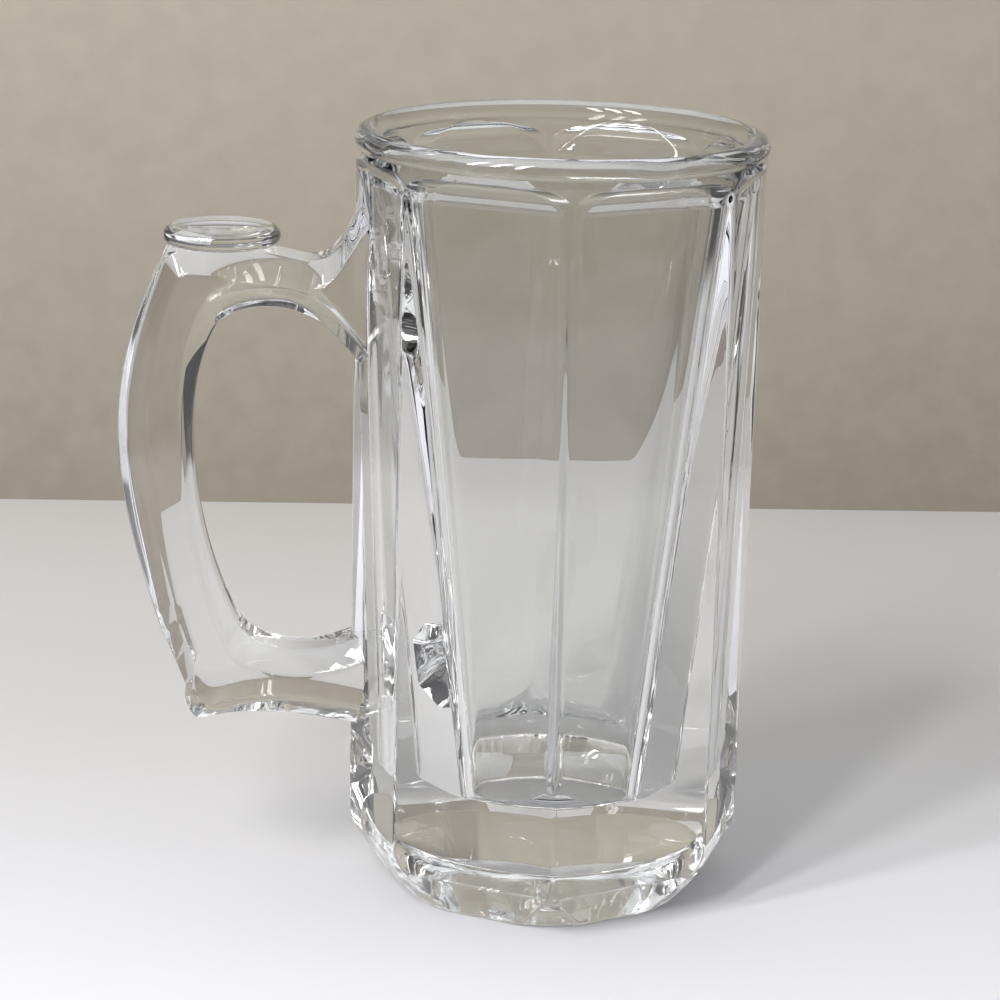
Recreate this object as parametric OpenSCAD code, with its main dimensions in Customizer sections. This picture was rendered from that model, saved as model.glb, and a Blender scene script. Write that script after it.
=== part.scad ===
// Pressed-glass beer mug: a thick body with eight flat panels, leaning flats inside
// them, a heel and a recess under the foot, and a flat-sided handle with a round
// thumb rest.
// Z is up and the origin is on the body's axis at the table. The handle points
// to -X, and one ridge between two panels faces -Y.

/* [Body] */
// Height from the table to the top of the lip
mug_height = 147; // [118:1:190]
// Diameter of the lip
mug_diameter = 77; // [74:0.5:96]
// Thickness of the rounded lip
lip_thickness = 4.6; // [3:0.1:6]
// How far the lip stands proud of the wall below it
lip_proud = 0.3; // [0:0.1:0.8]
// Plain round band from the top of the lip down to the panels
lip_band = 5; // [4:0.5:12]
// Draft by which the outside narrows towards the foot, in degrees
wall_draft = 0.15; // [0:0.05:1]

/* [Panels] */
// Angle taken by each of the four panels beside the front and back ridges
front_panel_angle = 51; // [40:1:52]
// Width of the narrow round land that is left on each ridge
ridge_land = 1; // [0.8:0.1:3]
// Radius of the cove where a panel runs out under the lip
panel_cove_radius = 3.2; // [2:0.1:6]

/* [Heel and foot] */
// Height at which the ridges turn in towards the foot
heel_height = 13.5; // [10:0.5:14]
// How much lower the panels turn in
panel_heel_drop = 0.6; // [0.4:0.1:0.8]
// Radius of that turn
heel_radius = 8; // [6:0.5:10]
// Lean of the heel below the turn along the ridges, in degrees
ridge_heel_lean = 40; // [34:1:41]
// Lean of the heel below the turn down the middle of a panel, in degrees
panel_heel_lean = 30; // [20:1:32]
// Radius of the recess under the foot
recess_radius = 26; // [20:0.5:26]
// Depth of that recess at its edge
recess_depth = 10.3; // [5:0.1:11]
// Radius of the recess's inner corner
recess_corner_radius = 2.5; // [1:0.5:3]
// Rise of the recess's domed roof from its edge to its middle
recess_dome_rise = 0.5; // [0.5:0.1:2]

/* [Cavity] */
// Height of the cavity's floor above the table
floor_height = 22.8; // [18:0.2:40]
// Radius of the cavity at its floor, before the corner is rounded
floor_radius = 28.6; // [26:0.2:29]
// Radius of the cavity where its straight taper ends
neck_radius = 33.6; // [31:0.2:33.8]
// Distance from the top of the lip down to the end of the taper
neck_drop = 17; // [10:1:30]
// Radius between the cavity's floor and wall
floor_corner_radius = 9; // [2:0.5:10]
// Distance from the top of the lip down to the top of the flats inside
flat_drop = 10; // [8:0.5:20]
// Share of a panel's angle that the flat inside it takes at the flat's top
flat_top_share = 0.97; // [0.6:0.01:0.98]
// Distance from the axis to the four wide flats at the floor
wide_flat_reach = 25.3; // [23:0.1:26]
// Distance from the axis to the four narrow flats at the floor
narrow_flat_reach = 20; // [18:0.1:26]

/* [Handle] */
// Distance that the handle's back stands out from the lip's radius
handle_reach = 44.1; // [38:0.1:60]
// Depth of the finger gap, from the lip's radius to the grip
finger_gap = 29.4; // [24:0.1:34]
// Width of the handle across its flat sides
handle_width = 16; // [12:0.5:22]
// How far a bevel takes each edge in from the handle's flat sides
bevel_depth = 3.8; // [2:0.1:5]
// Width of the bevels along the handle's back and underside
outer_bevel = 5; // [2:0.1:6]
// Width of the bevels round the finger gap, at the two arms
arm_bevel = 4.4; // [1:0.1:5]
// Width of the bevels round the finger gap, halfway down the grip
grip_bevel = 1.8; // [1:0.1:5]
// Distance from the top of the lip down to the top of the upper arm
upper_arm_drop = 25; // [22:0.2:40]
// Thickness of the upper arm at the top of the finger gap
upper_arm_thickness = 9; // [8:0.5:16]
// Height of the lower arm's underside above the table
lower_arm_height = 33.6; // [24:0.2:40]
// Thickness of the lower arm at the bottom of the finger gap
lower_arm_thickness = 12.6; // [10:0.2:22]
// How far the handle's upper corner stands out from the lip's radius
thumb_corner_reach = 34.2; // [30:0.2:40]
// How far the handle's rounded lower corner stands out from the lip's radius
spur_reach = 31; // [26:0.5:40]
// Share of the way down the grip at which the mould's step lies on its back
mould_step_share = 0.868; // [0.8:0.004:0.9]
// How far the back stands in below that step, just above the lower corner
mould_step_depth = 1.6; // [0.4:0.1:2]
// Height of the flare where the upper arm runs into the body
root_flare = 14; // [8:0.5:16]
// How far the arms are carried into the body before they are cut to fit it
root_depth = 4; // [3:0.5:5]

/* [Thumb rest] */
// Diameter of the thumb rest
thumb_rest_diameter = 21.8; // [16:0.2:26]
// Thickness of its rounded edge
thumb_rest_thickness = 3.6; // [2:0.2:4.6]
// Height of its top above the upper arm
thumb_rest_rise = 5.8; // [4:0.2:8]
// Distance of its middle from the lip's radius
thumb_rest_reach = 24.3; // [20:0.1:32]
// Depth of the dish in its top
thumb_dish_depth = 0.9; // [0.4:0.1:1.4]

/* [Hidden] */
$fn = 96;

glass_tint = [0.86, 0.89, 0.88, 0.5];
overcut = 1;
mug_radius = mug_diameter / 2;
lip_radius = lip_thickness / 2;
wall_radius = mug_radius - lip_proud;

// Panels: two wide ones beside the front ridge and two beside the back ridge, and
// a narrow pair beside the handle's ridge and another beside the ridge opposite.
// Each is given as its turn about the axis, its distance from the axis and its angle.
side_panel_angle = 90 - front_panel_angle;
panel_top = mug_height - lip_band;
panel_foot = heel_height - panel_heel_drop;
land_angle = asin(ridge_land / mug_diameter);
panels = [
    for (quarter = [0:3], wide = [false, true])
        let (
            angle = wide ? front_panel_angle : side_panel_angle,
            from_ridge = wide ? angle / 2 : 90 - angle / 2,
            turn = quarter % 2 == 1 ? 90 - from_ridge : from_ridge
        )
        [90 * (quarter - 1) + turn, wall_radius * cos(angle / 2 - land_angle), angle]
];

// Cavity: a round taper that is tangent to the rounded corner at the floor, with a
// flat on its wall inside each panel.
neck_height = mug_height - neck_drop;
taper_angle = atan((neck_radius - floor_radius) / (neck_height - floor_height));
corner_centre = [
    floor_radius + floor_corner_radius * (tan(taper_angle) - 1 / cos(taper_angle)),
    floor_height + floor_corner_radius
];
corner_end = corner_centre + floor_corner_radius * [cos(taper_angle), -sin(taper_angle)];
lip_inner_radius = mug_radius - lip_thickness;
flat_top = mug_height - flat_drop;
flat_top_radius = floor_radius + (flat_top - floor_height) * tan(taper_angle);

// Handle: its back and the edge of its finger gap, each as five cubic curves for
// the flare out of the body, the seat of the thumb rest, the grip, the rounded
// lower corner and the lower arm. Every point is [distance out from the lip's
// radius, height], and the two middle points of a curve pull it towards them.
handle_top = mug_height - upper_arm_drop;
handle_bottom = lower_arm_height;
gap_top = handle_top - upper_arm_thickness;
gap_bottom = handle_bottom + lower_arm_thickness;
gap_height = gap_top - gap_bottom;
seat_lap = 0.3;
seat_height = handle_top + thumb_rest_rise - thumb_rest_thickness + seat_lap;
arm_waist = [7.5, handle_top];
thumb_corner = [thumb_corner_reach, seat_height - 0.2];
spur_top = [spur_reach, handle_bottom + 1.6];
spur_foot = [spur_reach - 2.7, handle_bottom - 1.7];
grip_height = thumb_corner[1] - spur_top[1];
gap_waist = [8, gap_top - 1.6];
gap_shoulder = [finger_gap - 4.4, gap_top - 3];
gap_corner_top = [finger_gap - 6.4, gap_bottom + 9];
gap_corner_foot = [finger_gap - 11.4, gap_bottom + 2];
back_edge = [
    [
        [-root_depth, handle_top + root_flare], [1, handle_top + 0.6 * root_flare],
        arm_waist - [6, 0], arm_waist
    ],
    [arm_waist, arm_waist + [3.5, 0], [12, seat_height], thumb_corner],
    [
        thumb_corner, [handle_reach + 6.9, spur_top[1] + 0.643 * grip_height],
        [handle_reach - 1.6, spur_top[1] + 0.405 * grip_height], spur_top
    ],
    [spur_top, spur_top - [0.6, 1.8], spur_foot + [1.3, 0.1], spur_foot],
    [
        spur_foot, [spur_foot[0] - 8, handle_bottom + 1.4],
        [9, handle_bottom], [-root_depth, handle_bottom - 2.6]
    ]
];
gap_edge = [
    [
        [-root_depth, gap_top - root_flare], [-1, gap_top - 0.65 * root_flare],
        gap_waist - [4, 1.8], gap_waist
    ],
    [gap_waist, gap_waist + [4, 2.2], gap_shoulder + [-5, 4.3], gap_shoulder],
    [
        gap_shoulder, [finger_gap + 3.1, gap_top - 16],
        [finger_gap + 1.1, gap_bottom + 0.38 * gap_height], gap_corner_top
    ],
    [
        gap_corner_top, gap_corner_top - [1.4, 3.6],
        gap_corner_foot + [2.4, 1.4], gap_corner_foot
    ],
    [
        gap_corner_foot, gap_corner_foot - [4, 2],
        [6, gap_bottom - 1.8], [-root_depth, gap_bottom + 4]
    ]
];
curve_steps = [8, 10, 22, 5, 12];
grip_curve = 2;
corner_share = 0.98;
step_shares = [
    [mould_step_share, 0], [mould_step_share + 0.008, 0.25 * mould_step_depth],
    [corner_share, mould_step_depth], [corner_share + 0.01, 0]
];

// Shares along each curve at which it has points, with the mould's step in the grip's.
curve_shares = [
    for (i = [0:len(curve_steps) - 1])
        i == grip_curve
            ? [
                for (k = [1:curve_steps[i]]) k / curve_steps[i] * mould_step_share,
                for (k = [0:4]) step_shares[1][0] + k / 4 * (corner_share - step_shares[1][0]),
                step_shares[3][0], 1
            ]
            : [for (k = [1:curve_steps[i]]) k / curve_steps[i]]
];

function cubic(p, t) =
    p[0] * pow(1 - t, 3) + p[1] * 3 * t * pow(1 - t, 2)
    + p[2] * 3 * t * t * (1 - t) + p[3] * pow(t, 3);

// Points along all the curves of an edge, each joint between two given once.
function edge_points(curves) = [
    curves[0][0],
    for (i = [0:len(curves) - 1], share = curve_shares[i]) cubic(curves[i], share)
];

// Width of the gap's bevel at each of those points: it narrows down the grip.
gap_bevels = [
    arm_bevel,
    for (i = [0:len(gap_edge) - 1], share = curve_shares[i])
        i == grip_curve ? arm_bevel + (grip_bevel - arm_bevel) * sin(180 * share) : arm_bevel
];

// How far the mould's step takes the back in at each of those points.
back_steps = [
    0,
    for (i = [0:len(back_edge) - 1], share = curve_shares[i])
        i == grip_curve ? lookup(share, step_shares) : 0
];

// Bevelled section between a point of the back, taken in by step, and one of the gap's edge.
function section(full_back, gap, gap_bevel, step) =
    let (
        depth = norm(gap - full_back) - step,
        inwards = (gap - full_back) / (depth + step),
        back = full_back + inwards * step,
        from_back = inwards * min(outer_bevel, 0.48 * depth),
        from_gap = inwards * min(gap_bevel, 0.48 * depth),
        half = handle_width / 2,
        narrow = half - bevel_depth
    )
    [
        for (corner = [
            [back, -narrow], [back, narrow],
            [back + from_back, half], [gap - from_gap, half],
            [gap, narrow], [gap, -narrow],
            [gap - from_gap, -half], [back + from_back, -half]
        ])
        [-mug_radius - corner[0][0], corner[1], corner[0][1]]
    ];

// Distance from the axis of a wall that stands at full_size at the top of the mug.
function drafted(full_size, height) = full_size - (mug_height - height) * tan(wall_draft);

// Region outside the heel, which turns in from the drafted wall at height top round
// an arc and then leans straight to the table.
module outside_heel(full_size, top, lean) {
    centre = [drafted(full_size, top) - heel_radius, top];
    turned = centre + heel_radius * [cos(lean), -sin(lean)];
    difference() {
        translate([mug_radius / 2, -overcut])
            square([2 * mug_radius, top + overcut]);
        translate(centre)
            circle(heel_radius);
        polygon([
            [0, top], centre, turned,
            turned - (turned[1] + 2 * overcut) * [tan(lean), 1], [0, -2 * overcut]
        ]);
    }
}

// Round outside of the body, with its lip and heel, before the panels are cut.
module round_envelope() {
    lip_centre = mug_height - lip_radius;
    rotate_extrude()
        difference() {
            union() {
                polygon([
                    [0, 0], [drafted(wall_radius, 0), 0],
                    [drafted(wall_radius, lip_centre), lip_centre], [0, lip_centre]
                ]);
                translate([0, lip_centre - overcut])
                    square([mug_radius - lip_radius, lip_radius + overcut]);
                translate([mug_radius - lip_radius, lip_centre])
                    circle(lip_radius);
            }
            outside_heel(wall_radius, heel_height, ridge_heel_lean);
        }
}

// What one panel takes off, with a cove at its top and the heel at its foot.
module panel_cut(full_size) {
    cove_foot = panel_top - panel_cove_radius;
    cove_wall = drafted(full_size, cove_foot);
    rotate([90, 0, 0])
        linear_extrude(height = mug_diameter, center = true) {
            polygon([
                [drafted(full_size, panel_foot), panel_foot], [cove_wall, cove_foot],
                [2 * mug_radius, cove_foot], [2 * mug_radius, panel_foot]
            ]);
            translate([cove_wall + panel_cove_radius, panel_foot])
                square([mug_radius, panel_top - panel_foot]);
            translate([cove_wall + panel_cove_radius, cove_foot])
                circle(panel_cove_radius);
            outside_heel(full_size, panel_foot, panel_heel_lean);
        }
}

module panelled_outside() {
    difference() {
        round_envelope();
        for (panel = panels)
            rotate([0, 0, panel[0]])
                panel_cut(panel[1]);
    }
}

module round_cavity() {
    rotate_extrude() {
        polygon([
            [0, corner_end[1]], corner_end, [neck_radius, neck_height],
            [lip_inner_radius, mug_height - lip_radius], [0, mug_height - lip_radius]
        ]);
        difference() {
            translate([0, mug_height - lip_radius])
                square([mug_radius - lip_radius, lip_radius + overcut]);
            translate([mug_radius - lip_radius, mug_height - lip_radius])
                circle(lip_radius);
        }
        translate([0, floor_height])
            square([corner_centre[0], 2 * floor_corner_radius]);
        intersection() {
            translate(corner_centre)
                circle(floor_corner_radius);
            translate([0, floor_height])
                square([neck_radius, 2 * floor_corner_radius]);
        }
    }
}

// Glass that one flat leaves on the round wall, from the floor to just under the lip.
module flat_fill(angle, floor_reach) {
    end = mug_height - lip_radius - overcut / 2;
    rotate([90, 0, 0])
        linear_extrude(height = mug_diameter, center = true)
            polygon([
                [floor_reach, floor_height],
                [flat_top_radius * cos(angle / 2 * flat_top_share), flat_top],
                [lip_inner_radius, end], [mug_radius, end], [mug_radius, floor_height]
            ]);
}

module cavity() {
    difference() {
        round_cavity();
        for (panel = panels)
            rotate([0, 0, panel[0]])
                flat_fill(
                    panel[2], panel[2] == front_panel_angle ? wide_flat_reach : narrow_flat_reach
                );
    }
}

module foot_recess() {
    dome_radius = (pow(recess_radius, 2) + pow(recess_dome_rise, 2)) / (2 * recess_dome_rise);
    roof = recess_depth - recess_corner_radius;
    rotate_extrude() {
        translate([0, -overcut])
            square([recess_radius, roof + overcut]);
        square([recess_radius - recess_corner_radius, recess_depth]);
        translate([recess_radius - recess_corner_radius, roof])
            circle(recess_corner_radius);
    }
    intersection() {
        translate([0, 0, recess_depth + recess_dome_rise - dome_radius])
            sphere(dome_radius);
        cylinder(r = recess_radius - recess_corner_radius, h = 2 * recess_depth);
    }
}

module handle_loop() {
    back = edge_points(back_edge);
    gap = edge_points(gap_edge);
    rings = [for (i = [0:len(back) - 1]) section(back[i], gap[i], gap_bevels[i], back_steps[i])];
    sides = len(rings[0]);
    last = len(rings) - 1;
    polyhedron(
        points = [for (ring = rings) each ring],
        faces = [
            [for (k = [0:sides - 1]) k],
            for (i = [0:last - 1], k = [0:sides - 1])
                let (a = i * sides, next = (k + 1) % sides)
                each [
                    [a + k, a + sides + k, a + sides + next],
                    [a + k, a + sides + next, a + next]
                ],
            [for (k = [sides - 1:-1:0]) last * sides + k]
        ]
    );
}

// Round pad on the upper corner, with a full round edge and a shallow dish.
module thumb_rest() {
    edge = thumb_rest_thickness / 2;
    dish = thumb_rest_diameter / 2 - edge;
    dish_radius = (pow(dish, 2) + pow(thumb_dish_depth, 2)) / (2 * thumb_dish_depth);
    translate([-mug_radius - thumb_rest_reach, 0, handle_top + thumb_rest_rise])
        difference() {
            rotate_extrude() {
                translate([0, -thumb_rest_thickness])
                    square([dish, thumb_rest_thickness]);
                translate([dish, -edge])
                    circle(edge);
            }
            translate([0, 0, dish_radius - thumb_dish_depth])
                sphere(dish_radius);
        }
}

module body() {
    color(glass_tint) {
        difference() {
            panelled_outside();
            cavity();
            foot_recess();
        }
    }
}

module handle() {
    color(glass_tint)
        difference() {
            union() {
                handle_loop();
                thumb_rest();
            }
            panelled_outside();
        }
}

body();
handle();
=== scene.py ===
import math

import bpy
import numpy as np
from mathutils import Matrix, Vector


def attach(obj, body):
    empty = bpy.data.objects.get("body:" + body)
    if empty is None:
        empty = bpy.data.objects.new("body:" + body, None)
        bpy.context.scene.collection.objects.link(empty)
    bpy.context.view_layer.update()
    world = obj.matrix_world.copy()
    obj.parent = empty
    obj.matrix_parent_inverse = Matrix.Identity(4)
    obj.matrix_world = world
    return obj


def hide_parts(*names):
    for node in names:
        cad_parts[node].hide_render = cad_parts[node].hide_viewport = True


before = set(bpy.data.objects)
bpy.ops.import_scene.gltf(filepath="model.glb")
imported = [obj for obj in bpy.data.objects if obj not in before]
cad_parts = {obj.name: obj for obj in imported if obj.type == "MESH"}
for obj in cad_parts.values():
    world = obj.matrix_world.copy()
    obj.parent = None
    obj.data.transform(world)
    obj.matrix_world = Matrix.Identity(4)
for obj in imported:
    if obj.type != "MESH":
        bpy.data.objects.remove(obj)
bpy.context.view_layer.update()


# Viewpoint. The mug was photographed from just above its rim, a little over half a
# metre away, with a long lens and the camera tipped down and turned slightly.
camera_distance, camera_height = 0.565, 0.233
camera_bearing, camera_heading = math.radians(3.65), math.radians(2.65)
camera_tip, camera_roll = math.radians(15.6), math.radians(1.47)

looking = Vector((
    math.sin(camera_heading) * math.cos(camera_tip),
    math.cos(camera_heading) * math.cos(camera_tip),
    -math.sin(camera_tip),
))
level = Vector((math.cos(camera_heading), -math.sin(camera_heading), 0))
upright = level.cross(looking)
across = math.cos(camera_roll) * level + math.sin(camera_roll) * upright
camera = bpy.data.objects.new("camera", bpy.data.cameras.new("camera"))
camera.data.lens, camera.data.sensor_width = 110.5, 36
camera.data.clip_start, camera.data.clip_end = 0.01, 50
camera.matrix_world = Matrix.Translation((
    -camera_distance * math.sin(camera_bearing),
    -camera_distance * math.cos(camera_bearing),
    camera_height,
)) @ Matrix((across, looking.cross(-across), -looking)).transposed().to_4x4()
bpy.context.scene.collection.objects.link(camera)
bpy.context.scene.camera = camera


# Body. A thick tumbler of clear soda-lime glass, pressed in one go between a mould
# and a plunger: eight flat panels outside, flats inside behind them that lean in towards
# the floor, a leaning heel, and a heavy base over a domed recess. The lip was fire polished.
MM = 0.001
MUG_HEIGHT, LIP_REACH, LIP_ROUND, LIP_START = 147.0, 38.5, 2.3, -42
WALL, DRAFT = 38.2, math.tan(math.radians(0.15))
WIDE_PANEL, NARROW_PANEL, LAND_WIDTH = math.radians(51), math.radians(39), 1.0
COVE, PANEL_TOP = 3.2, 142.0
HEEL, PANEL_HEEL, HEEL_ROUND = 13.5, 12.9, 8.0
RIDGE_SLOPE, PANEL_SLOPE = math.radians(40), math.radians(30)
FLOOR, FLOOR_REACH, FLOOR_ROUND = 22.8, 28.6, 9.0
NECK, NECK_REACH = 130.0, 33.6
FLAT_TOP, FLAT_END, FLAT_SHARE = 137.0, 144.2, 0.97
WIDE_FLAT, NARROW_FLAT = 25.3, 20.0
RECESS_REACH, RECESS, RECESS_ROUND, RECESS_DOME = 26.0, 10.3, 2.5, 0.5
FOOT_ROUND, FOOT_HEIGHTS, FOOT_INSETS = 0.6, [0, 0.08, 0.3], [0.5, 0.2, 0]

# The fillet between each panel and the next, outside and inside, where only the corners
# between two wide flats are sharp.
PANEL_WIDTHS = np.array([NARROW_PANEL, WIDE_PANEL, WIDE_PANEL, NARROW_PANEL] * 2)
PANEL_MIDDLES = np.cumsum(PANEL_WIDTHS) - PANEL_WIDTHS / 2
OUTER_FILLETS = np.full(len(PANEL_WIDTHS), 0.1)
INNER_FILLETS = np.array([3.0, 0.2, 3.0, 3.0] * 2)
RIDGE_FILLET = 0.2

# Columns of the mesh across a panel: 0 in its middle, 1 where it meets the round wall and
# 2 at the next panel.
to_ridge = np.array([
    0.12, 0.24, 0.36, 0.48, 0.6, 0.7, 0.79, 0.87, 0.93, 0.97, 0.99,
    1, 1.02, 1.05, 1.1, 1.18, 1.3, 1.44, 1.58, 1.72, 1.86,
])
COLUMNS = np.concatenate([[-2], -to_ridge[::-1], [0], to_ridge])


def smooth_min(a, b, reach):
    """The lower of a and b, less reach/4 times the square of the share of reach by which their
    gap falls short of it."""
    short = np.maximum(reach - np.abs(a - b), 0) / reach
    return np.minimum(a, b) - short * short * reach / 4


def arc(centre, radius, start, stop, count):
    """Points at centre + radius * (cos, sin) for count equal steps from start to stop degrees."""
    turn = np.radians(np.linspace(start, stop, count))
    return np.stack([centre[0] + radius * np.cos(turn), centre[1] + radius * np.sin(turn)], 1)


def run(start, stop, count):
    """Points at equal steps along the straight line from start to stop."""
    return np.linspace(start, stop, count)


def heeled(size, heel, slope, z):
    """A wall at size, less its draft, that turns in below heel round a circle until it leans by
    slope, and then runs straight to the table."""
    below = np.clip(heel - z, 0, None)
    turned = np.minimum(below, HEEL_ROUND * math.sin(slope))
    straight = (below - turned) * math.tan(slope)
    upright = size - (MUG_HEIGHT - z) * DRAFT
    return upright - HEEL_ROUND + np.sqrt(HEEL_ROUND**2 - turned**2) - straight


def flattened(round_wall, planes, fillets):
    """Bearings and distances from the axis for rows of a round wall that is cut by one plane per
    panel. A plane stands at its own distance over the cosine of the angle from its panel's
    middle. It meets the round wall at the arc cosine of the two distances' ratio, and the next
    plane, an angle T further, at atan2(next - own cos T, own sin T), and the columns crowd
    together at both."""
    least_flat, least_land, least_cosine = 0.35, 0.004, 0.2
    turn = (PANEL_WIDTHS + np.roll(PANEL_WIDTHS, -1)) / 2
    after, before = np.roll(planes, -1, 1), np.roll(planes, 1, 1)
    to_next = np.arctan2(after - planes * np.cos(turn), planes * np.sin(turn))
    to_last = np.roll(turn - to_next, 1, 1)
    reach = np.where(COLUMNS < 0, to_last[:, :, None], to_next[:, :, None])
    meet = np.arccos(np.clip(planes / round_wall[:, None], -1, 1))[:, :, None]
    meet = np.clip(meet, least_flat * reach, reach - least_land)
    on_flat, past_flat = np.minimum(np.abs(COLUMNS), 1), np.maximum(np.abs(COLUMNS) - 1, 0)
    across = np.sign(COLUMNS) * (on_flat * meet + past_flat * (reach - meet))
    own = planes[:, :, None] / np.cos(across)
    from_after, from_before = across - turn[:, None], across + np.roll(turn, 1)[:, None]
    beside = np.minimum(
        after[:, :, None] / np.maximum(np.cos(from_after), least_cosine),
        before[:, :, None] / np.maximum(np.cos(from_before), least_cosine),
    )
    fillet = np.where(COLUMNS < 0, np.roll(fillets, 1)[:, None], fillets[:, None])
    flats = smooth_min(own, beside, fillet)
    distance = smooth_min(flats, round_wall[:, None, None], RIDGE_FILLET)
    theta = PANEL_MIDDLES[:, None] + across
    return theta.reshape(len(round_wall), -1), distance.reshape(len(round_wall), -1)


def revolved_grid(radius, height, theta):
    """Points (r cos t, r sin t, z) on a grid of profile rows by bearings, with the first and last
    rows drawn to a point on the axis, and quads between neighbours that face outwards."""
    rows, columns = radius.shape
    grid = np.stack([radius * np.cos(theta), radius * np.sin(theta), height], 2)
    points = np.concatenate([grid[0, :1], grid[1:-1].reshape(-1, 3), grid[-1, :1]])
    index = 1 + np.arange((rows - 2) * columns).reshape(rows - 2, columns)
    beside = np.roll(index, -1, axis=1)
    quads = np.stack([index[:-1], beside[:-1], beside[1:], index[1:]], 2).reshape(-1, 4)
    foot = np.stack([np.zeros(columns, int), beside[0], index[0]], 1)
    top = np.stack([np.full(columns, len(points) - 1), index[-1], beside[-1]], 1)
    return points, quads.tolist() + foot.tolist() + top.tolist()


def mesh_object(name, points, faces):
    """An object at the origin whose smooth-shaded mesh has these points, given in millimetres."""
    mesh = bpy.data.meshes.new(name)
    mesh.from_pydata((points * MM).tolist(), [], faces)
    mesh.shade_smooth()
    made = bpy.data.objects.new(name, mesh)
    bpy.context.scene.collection.objects.link(made)
    return made


# The recess under the foot, from the axis out to the ring that the mug stands on.
recess_flat, recess_side = RECESS_REACH - RECESS_ROUND, RECESS - RECESS_ROUND
roof = run(0, recess_flat, 8)
under = np.concatenate([
    np.stack([roof, RECESS + RECESS_DOME * (1 - (roof / recess_flat) ** 2)], 1),
    arc((recess_flat, recess_side), RECESS_ROUND, 90, 0, 9)[1:],
    run((RECESS_REACH, recess_side - 1), (RECESS_REACH, FOOT_ROUND), 4),
    arc((RECESS_REACH + FOOT_ROUND, FOOT_ROUND), FOOT_ROUND, 180, 270, 5)[1:],
])

# The outside, from the foot to just above the coves, where the planes stand clear of the wall.
cove_start, above_panels, clear = PANEL_TOP - COVE, PANEL_TOP + 0.15, 20.0
outer_z = np.sort(np.concatenate([
    FOOT_HEIGHTS,
    run(0.8, HEEL - HEEL_ROUND * math.sin(RIDGE_SLOPE), 12),
    HEEL - HEEL_ROUND * np.sin(run(RIDGE_SLOPE, 0, 16))[1:],
    run(HEEL, cove_start, 12)[1:],
    cove_start + COVE * np.sin(run(0, math.pi / 2, 16))[1:],
    [above_panels],
]))
inset = np.interp(outer_z, FOOT_HEIGHTS, FOOT_INSETS)
rise = np.clip(outer_z - cove_start, 0, COVE)
cove = COVE - np.sqrt(COVE**2 - rise**2) + np.where(outer_z > PANEL_TOP, clear, 0)
land = math.asin(LAND_WIDTH / 2 / LIP_REACH)
outer_planes = np.stack([
    heeled(WALL * math.cos(width / 2 - land), PANEL_HEEL, PANEL_SLOPE, outer_z) + cove
    for width in PANEL_WIDTHS
], 1)
outer_wall = heeled(WALL, HEEL, RIDGE_SLOPE, outer_z)
outer_theta, outer = flattened(outer_wall, outer_planes, OUTER_FILLETS)

# The lip, then the inside from the lip down to the middle of the floor.
lip_z, lip_inside = MUG_HEIGHT - LIP_ROUND, LIP_REACH - 2 * LIP_ROUND
lip = arc((LIP_REACH - LIP_ROUND, lip_z), LIP_ROUND, LIP_START, 180, 30)
taper = math.atan((NECK_REACH - FLOOR_REACH) / (NECK - FLOOR))
corner = np.array([
    FLOOR_REACH + FLOOR_ROUND * (math.tan(taper) - 1 / math.cos(taper)),
    FLOOR + FLOOR_ROUND,
])
corner_top = corner + FLOOR_ROUND * np.array([math.cos(taper), -math.sin(taper)])
inside = np.concatenate([
    run((lip_inside, lip_z), (NECK_REACH, NECK), 24)[1:],
    run((NECK_REACH, NECK), corner_top, 30)[1:],
    arc(corner, FLOOR_ROUND, -math.degrees(taper), -90, 20)[1:],
    run((corner[0], FLOOR), (0, FLOOR), 8)[1:],
])
flat_low = np.where(PANEL_WIDTHS == WIDE_PANEL, WIDE_FLAT, NARROW_FLAT)
flat_high = FLOOR_REACH + math.tan(taper) * (FLAT_TOP - FLOOR)
flat_high = flat_high * np.cos(PANEL_WIDTHS / 2 * FLAT_SHARE)
up_flat = np.clip((inside[:, 1:] - FLOOR) / (FLAT_TOP - FLOOR), 0, 1)
to_lip = np.clip((inside[:, 1:] - FLAT_TOP) / (FLAT_END - FLAT_TOP), 0, 1)
leaning = flat_low + (flat_high - flat_low) * up_flat
inner_planes = leaning * (1 - to_lip) + lip_inside * to_lip
inner_theta, inner = flattened(inside[:, 0], inner_planes, INNER_FILLETS)

# The round rows of the recess and the lip take plain bearings.
plain = flattened(np.ones(1), np.cos(PANEL_WIDTHS / 4)[None, :], OUTER_FILLETS)[0]
theta = np.concatenate([
    np.repeat(plain, len(under), 0), outer_theta,
    np.repeat(plain, len(lip), 0), inner_theta,
])
radius = np.concatenate([
    np.repeat(under[:, :1], theta.shape[1], 1), outer - inset[:, None],
    np.repeat(lip[:, :1], theta.shape[1], 1), inner,
])
height = np.concatenate([under[:, 1], outer_z, lip[:, 1], inside[:, 1]])
height = np.repeat(height[:, None], theta.shape[1], 1)
mug = mesh_object("mug_glass", *revolved_grid(radius, height, theta))


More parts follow.
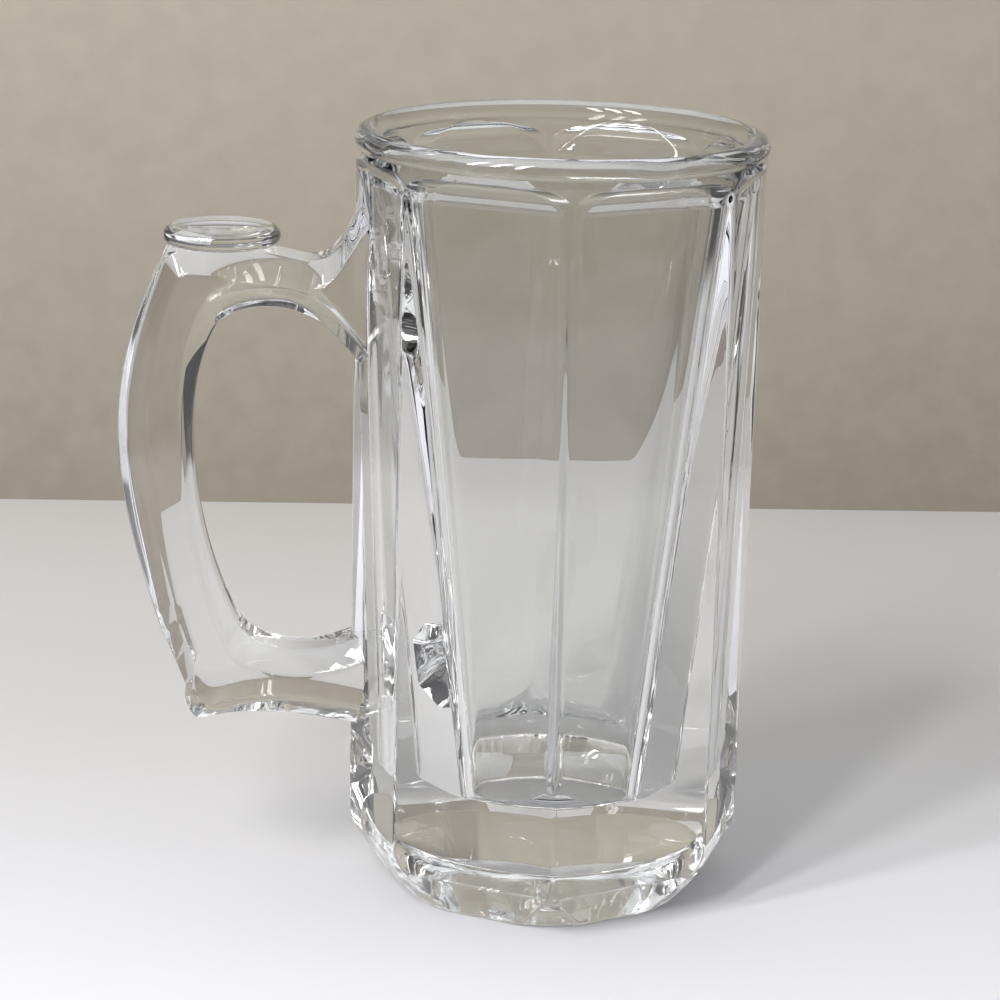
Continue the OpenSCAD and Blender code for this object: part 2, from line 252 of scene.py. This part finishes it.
# Handle. It was pressed with the body from the same glass: a flat-sided loop with
# wide bevels along its back and underside and narrow ones round the finger gap,
# which flares where its two arms run into the body. The mould left a step low on its back.
HANDLE_HALF, BEVEL_DEPTH = 8.0, 3.8
BACK_BEVEL, ARM_BEVEL, GRIP_BEVEL, BEVEL_LIMIT = 5.0, 4.4, 1.8, 0.48
STEP_PLACES, STEP_DEPTHS = [0.868, 0.876, 0.98, 0.99], [0, 0.4, 1.6, 0]
EDGE_ROUND, EDGE_POINTS = 0.7, 5
ROOT = -4
back_curves = np.array([
    [(ROOT, 136), (1, 130.4), (1.5, 122), (7.5, 122)],
    [(7.5, 122), (11, 122), (12, 124.5), (34.2, 124.3)],
    [(34.2, 124.3), (51, 92.5), (42.5, 71.3), (31, 35.2)],
    [(31, 35.2), (30.4, 33.4), (29.6, 32), (28.3, 31.9)],
    [(28.3, 31.9), (20.3, 35), (9, 33.6), (ROOT, 31)],
])
gap_curves = np.array([
    [(ROOT, 99), (-1, 103.9), (4, 109.6), (8, 111.4)],
    [(8, 111.4), (12, 113.6), (20, 114.3), (25, 110)],
    [(25, 110), (32.5, 97), (30.5, 71.5), (23, 55.2)],
    [(23, 55.2), (21.6, 51.6), (20.4, 49.6), (18, 48.2)],
    [(18, 48.2), (14, 46.2), (6, 44.4), (ROOT, 50.2)],
])
curve_steps = [18, 20, 150, 10, 22]


def cubic(curve, count):
    """(1-t)^3 p0 + 3 t (1-t)^2 p1 + 3 t^2 (1-t) p2 + t^3 p3 at count equal steps after p0."""
    t = np.linspace(0, 1, count + 1)[1:]
    weights = np.stack([(1 - t) ** 3, 3 * t * (1 - t) ** 2, 3 * t * t * (1 - t), t**3], 1)
    return weights @ curve


def edge_line(curves):
    """The curves one after the other, each joint once, then eased three times by a running mean
    of (last + 2 own + next) / 4."""
    line = [cubic(curve, count) for curve, count in zip(curves, curve_steps)]
    eased = np.concatenate([curves[0][:1], *line])
    for _ in range(3):
        eased[1:-1] = (eased[:-2] + 2 * eased[1:-1] + eased[2:]) / 4
    return eased


def rounded_ring(corners, ease, count):
    """Each corner of a ring becomes a quadratic curve that starts and ends up to ease along its
    two sides, at most 0.42 of a side, and leans on the corner."""
    most = 0.42
    before, after = np.roll(corners, 1, 1) - corners, np.roll(corners, -1, 1) - corners
    leave = before * np.minimum(ease / np.linalg.norm(before, axis=2), most)[..., None]
    join = after * np.minimum(ease / np.linalg.norm(after, axis=2), most)[..., None]
    t = np.linspace(0, 1, count)[:, None]
    curve = corners[:, :, None] + (1 - t) ** 2 * leave[:, :, None] + t * t * join[:, :, None]
    return curve.reshape(len(corners), -1, 3)


def lofted_tube(rings):
    """Quads between neighbouring rings and a face over each end, facing outwards."""
    count, around = rings.shape[:2]
    index = np.arange(count * around).reshape(count, around)
    beside = np.roll(index, -1, axis=1)
    quads = np.stack([index[:-1], index[1:], beside[1:], beside[:-1]], 2).reshape(-1, 4)
    return rings.reshape(-1, 3), quads.tolist() + [index[0].tolist(), index[-1][::-1].tolist()]


back, gap = edge_line(back_curves), edge_line(gap_curves)
along_grip = np.clip((np.arange(len(back)) - sum(curve_steps[:2])) / curve_steps[2], 0, 1)
gap_bevel = ARM_BEVEL + (GRIP_BEVEL - ARM_BEVEL) * np.sin(np.pi * along_grip)
step = np.interp(along_grip, STEP_PLACES, STEP_DEPTHS)
depth = np.linalg.norm(gap - back, axis=1) - step
inwards = (gap - back) / (depth + step)[:, None]
back = back + inwards * step[:, None]
shoulder_back = back + inwards * np.minimum(BACK_BEVEL, BEVEL_LIMIT * depth)[:, None]
shoulder_gap = gap - inwards * np.minimum(gap_bevel, BEVEL_LIMIT * depth)[:, None]
narrow = HANDLE_HALF - BEVEL_DEPTH
section = [
    (back, -narrow), (back, narrow), (shoulder_back, HANDLE_HALF), (shoulder_gap, HANDLE_HALF),
    (gap, narrow), (gap, -narrow), (shoulder_gap, -HANDLE_HALF), (shoulder_back, -HANDLE_HALF),
]
corners = np.stack([
    np.stack([-LIP_REACH - line[:, 0], np.full(len(line), y), line[:, 1]], 1)
    for line, y in section
], 1)
loop = mesh_object("handle_loop", *lofted_tube(rounded_ring(corners, EDGE_ROUND, EDGE_POINTS)))


# Thumb rest. A round pad stands on the handle's upper corner, in one piece with it,
# and has a full round edge and a shallow dish for the thumb.
PAD_MIDDLE, PAD_TOP, PAD_REACH, PAD_EDGE, PAD_DISH = 24.3, 127.8, 10.9, 1.8, 0.9
dish_reach, pad_foot = PAD_REACH - PAD_EDGE, PAD_TOP - 2 * PAD_EDGE
dish = run(dish_reach, 0, 14)
pad = np.concatenate([
    run((0, pad_foot), (dish_reach, pad_foot), 8),
    arc((dish_reach, PAD_TOP - PAD_EDGE), PAD_EDGE, -90, 90, 16)[1:],
    np.stack([dish, PAD_TOP - PAD_DISH * (1 - (dish / dish_reach) ** 2)], 1)[1:],
])
pad_bearings = np.linspace(0, 2 * np.pi, 96, endpoint=False)
pad_grid = [np.repeat(pad[:, k : k + 1], len(pad_bearings), 1) for k in (0, 1)]
pad_points, pad_faces = revolved_grid(*pad_grid, pad_bearings)
rest = mesh_object("thumb_rest", pad_points - [LIP_REACH + PAD_MIDDLE, 0, 0], pad_faces)


# Glass. Body, handle and thumb rest are one piece of clear glass, joined here as the
# mould joined them. Its surface has the slow waves of pressed glass and a few faint smudges.
CREASE = math.radians(38)
CLEAR_GLASS, GLASS_IOR = (0.935, 0.945, 0.94, 1), 1.5

for pressed in (rest, loop):
    union = mug.modifiers.new(pressed.name, "BOOLEAN")
    union.operation, union.solver, union.object = "UNION", "EXACT", pressed
joined = mug.evaluated_get(bpy.context.evaluated_depsgraph_get())
whole = bpy.data.meshes.new_from_object(joined)
mug.modifiers.clear()
mug.data = whole
whole.set_sharp_from_angle(angle=CREASE)
for pressed in (rest, loop):
    bpy.data.objects.remove(pressed)


class Shade:
    """A socket of one material, with operators that add Math nodes to it."""

    def __init__(self, tree, socket):
        self.tree, self.socket = tree, socket

    def node(self, kind, output=0, settings=(), **values):
        """Adds a node of this kind, applies its settings, sets or links its sockets, each by its
        name with _ for a space or by _ and its number, and returns the output asked for."""
        made = self.tree.nodes.new(kind)
        for key, value in dict(settings).items():
            setattr(made, key, value)
        for key, value in values.items():
            socket = made.inputs[int(key[1:]) if key[1:].isdigit() else key.replace("_", " ")]
            if isinstance(value, Shade):
                self.tree.links.new(value.socket, socket)
            else:
                socket.default_value = value
        return Shade(self.tree, made.outputs[output])

    def feed(self, socket):
        """Links this value to a shader's socket."""
        self.tree.links.new(self.socket, socket)

    def axis(self, name):
        """One of a vector's three parts."""
        return self.node("ShaderNodeSeparateXYZ", name, _0=self)

    def ramp(self, start, stop, low=0, high=1, course="SMOOTHSTEP"):
        """Low where this value is at start or before it, high from stop on, and between them an
        even or a smooth course."""
        return self.node(
            "ShaderNodeMapRange", 0, {"interpolation_type": course},
            _0=self, _1=start, _2=stop, _3=low, _4=high,
        )

    def blend(self, first, second):
        """The first colour where this value is 0, the second where it is 1."""
        return self.node("ShaderNodeMix", 2, {"data_type": "RGBA"}, _0=self, _6=first, _7=second)

    def maths(self, operation, a, b):
        return self.node("ShaderNodeMath", 0, {"operation": operation}, _0=a, _1=b)

    def __add__(self, other):
        return self.maths("ADD", self, other)

    def __radd__(self, other):
        return self.maths("ADD", other, self)

    def __sub__(self, other):
        return self.maths("SUBTRACT", self, other)

    def __rsub__(self, other):
        return self.maths("SUBTRACT", other, self)

    def __mul__(self, other):
        return self.maths("MULTIPLY", self, other)

    def __rmul__(self, other):
        return self.maths("MULTIPLY", other, self)


def surface(name):
    """A new material, its Object coordinates and its Principled shader."""
    material = bpy.data.materials.new(name)
    material.use_nodes = True
    tree = material.node_tree
    place = Shade(tree, tree.nodes.new("ShaderNodeTexCoord").outputs["Object"])
    return material, place, tree.nodes["Principled BSDF"]


glass, place, shader = surface("pressed_glass")
flow = place.node("ShaderNodeTexNoise", Vector=place, Scale=28, Detail=1.5, Roughness=0.4)
waves = place.node("ShaderNodeBump", Strength=0.06, Distance=0.004, Height=flow)
waves.feed(shader.inputs["Normal"])
smudges = place.node("ShaderNodeTexNoise", Vector=place, Scale=24, Detail=3)
smudges.ramp(0.55, 0.8, 0, 0.01, "LINEAR").feed(shader.inputs["Roughness"])
shader.inputs["Base Color"].default_value = CLEAR_GLASS
shader.inputs["Transmission Weight"].default_value = 1
shader.inputs["IOR"].default_value = GLASS_IOR
whole.materials.clear()
whole.materials.append(glass)
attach(mug, "root")
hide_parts("body", "handle")


# Setting. White paper on the table, with painted light that makes it whiter and bluer towards
# the window, and painted shade past it, a near black ring that stands for the dim room. A warm
# grey wall a quarter of a metre behind the mug, with painted light that makes it lighter going up
# and painted shade above the rim. The wall has one face, so that it can be looked through from
# behind.
TABLE_REACH, WALL_Y, WALL_HALF, WALL_TOP = 3, 0.264, 0.24, 0.3
# Painted light: the paper's colour turns whiter and bluer towards the window, at the front.
PAPER_FAR_SHADED, PAPER_NEAR_LIT = (0.66, 0.65, 0.64, 1), (0.89, 0.89, 0.96, 1)
# Painted shade: past the paper the table fades to near black, standing for the dim room seen in
# the glass.
PAPER_REACH, ROOM_SHADE_START, PAINTED_ROOM_SHADE = 0.31, 0.36, (0.07, 0.063, 0.055, 1)
# Painted light: the wall's low colour lightens into its high colour going up.
WALL_LOW_SHADED, WALL_HIGH_LIT = (0.36, 0.32, 0.27, 1), (0.54, 0.50, 0.415, 1)
# Painted shade: the wall's dim colour, which darkens it above the rim.
WALL_PAINTED_SHADE, MATT = (0.17, 0.155, 0.13, 1), 0.9


def flat_sheet(name, corners):
    """A single face with these corners, in metres."""
    mesh = bpy.data.meshes.new(name)
    mesh.from_pydata(corners, [], [[0, 1, 2, 3]])
    made = bpy.data.objects.new(name, mesh)
    bpy.context.scene.collection.objects.link(made)
    return made


table = flat_sheet("table", [
    (-TABLE_REACH, -TABLE_REACH, 0), (TABLE_REACH, -TABLE_REACH, 0),
    (TABLE_REACH, WALL_Y, 0), (-TABLE_REACH, WALL_Y, 0),
])
paper, place, shader = surface("white_paper")
# Painted light: the paper is whiter and bluer towards the window.
painted_light_on_paper = place.axis("Y").ramp(0.12, -0.15).blend(PAPER_FAR_SHADED, PAPER_NEAR_LIT)
from_axis = place.node("ShaderNodeVectorMath", "Value", {"operation": "LENGTH"}, _0=place)
# Painted shade: a near black ring on the table beyond the paper.
painted_room_shade = from_axis.ramp(PAPER_REACH, ROOM_SHADE_START)
painted_room_shade.blend(painted_light_on_paper, PAINTED_ROOM_SHADE).feed(shader.inputs["Base Color"])
fibres = place.node("ShaderNodeTexNoise", Vector=place, Scale=60, Detail=4)
tooth = place.node("ShaderNodeBump", Strength=0.15, Distance=0.001, Height=fibres)
tooth.feed(shader.inputs["Normal"])
shader.inputs["Roughness"].default_value = MATT
table.data.materials.append(paper)

wall = flat_sheet("wall", [
    (-WALL_HALF, WALL_Y, 0), (WALL_HALF, WALL_Y, 0),
    (WALL_HALF, WALL_Y, WALL_TOP), (-WALL_HALF, WALL_Y, WALL_TOP),
])
paint, place, shader = surface("warm_grey_paint")
up_wall = place.axis("Z")
mottle = place.node("ShaderNodeTexNoise", Vector=place, Scale=130, Detail=3)
# Painted light: the wall gets lighter going up, plus the paint's own random mottle.
painted_light_and_mottle = up_wall.ramp(0, 0.15, course="LINEAR") + 0.5 * (mottle - 0.5)
# Painted shade: the wall darkens above the rim.
painted_shade_high = up_wall.ramp(0.13, WALL_TOP)
painted = painted_shade_high.blend(painted_light_and_mottle.blend(WALL_LOW_SHADED, WALL_HIGH_LIT), WALL_PAINTED_SHADE)
painted.feed(shader.inputs["Base Color"])
shader.inputs["Roughness"].default_value = MATT
one_sided = place.node(
    "ShaderNodeMixShader",
    _0=place.node("ShaderNodeNewGeometry", "Backfacing"),
    _1=Shade(paint.node_tree, shader.outputs[0]),
    _2=place.node("ShaderNodeBsdfTransparent"),
)
one_sided.feed(paint.node_tree.nodes["Material Output"].inputs["Surface"])
wall.data.materials.append(paint)


# Light. A window of three tall panes to the upper left, and the room's soft light, which is
# bright overhead and nearly dark at eye level.
PANE_WIDTH, PANE_HEIGHT, PANE_SHIFT, PANE_POWER = 0.09, 0.62, 0.22, 3.73
DAYLIGHT, ROOM_LIGHT = (1, 0.985, 0.97), (0.97, 0.98, 1, 1)


def pane(name, place, aim):
    """A rectangular lamp at place that faces aim."""
    lamp = bpy.data.lights.new(name, "AREA")
    lamp.shape, lamp.size, lamp.size_y = "RECTANGLE", PANE_WIDTH, PANE_HEIGHT
    lamp.energy, lamp.color = PANE_POWER, DAYLIGHT
    made = bpy.data.objects.new(name, lamp)
    facing = (aim - place).to_track_quat("-Z", "Y").to_matrix().to_4x4()
    made.matrix_world = Matrix.Translation(place) @ facing
    bpy.context.scene.collection.objects.link(made)


window_middle, lit_middle = Vector((-0.56, -0.63, 0.78)), Vector((0.06, 0.08, 0.05))
sideways = (lit_middle - window_middle).cross((0, 0, 1)).normalized()
for name, shift in (("pane_left", -PANE_SHIFT), ("pane_middle", 0), ("pane_right", PANE_SHIFT)):
    aside = shift * sideways
    pane(name, window_middle + aside, lit_middle + 0.3 * aside)

room = bpy.data.worlds.new("room")
bpy.context.scene.world = room
room.use_nodes = True
away = Shade(room.node_tree, room.node_tree.nodes.new("ShaderNodeTexCoord").outputs["Generated"])
overhead = away.axis("Z").ramp(0.3, 1, 0.05, 0.95)
brightness = overhead * (1 - 0.2 * away.axis("X"))
backdrop = room.node_tree.nodes["Background"]
backdrop.inputs["Color"].default_value = ROOM_LIGHT
brightness.feed(backdrop.inputs["Strength"])
bpy.context.scene.view_settings.view_transform = "Standard"
bpy.context.scene.cycles.max_bounces = 32
bpy.context.scene.cycles.transmission_bounces = 32
bpy.context.scene.cycles.glossy_bounces = 12
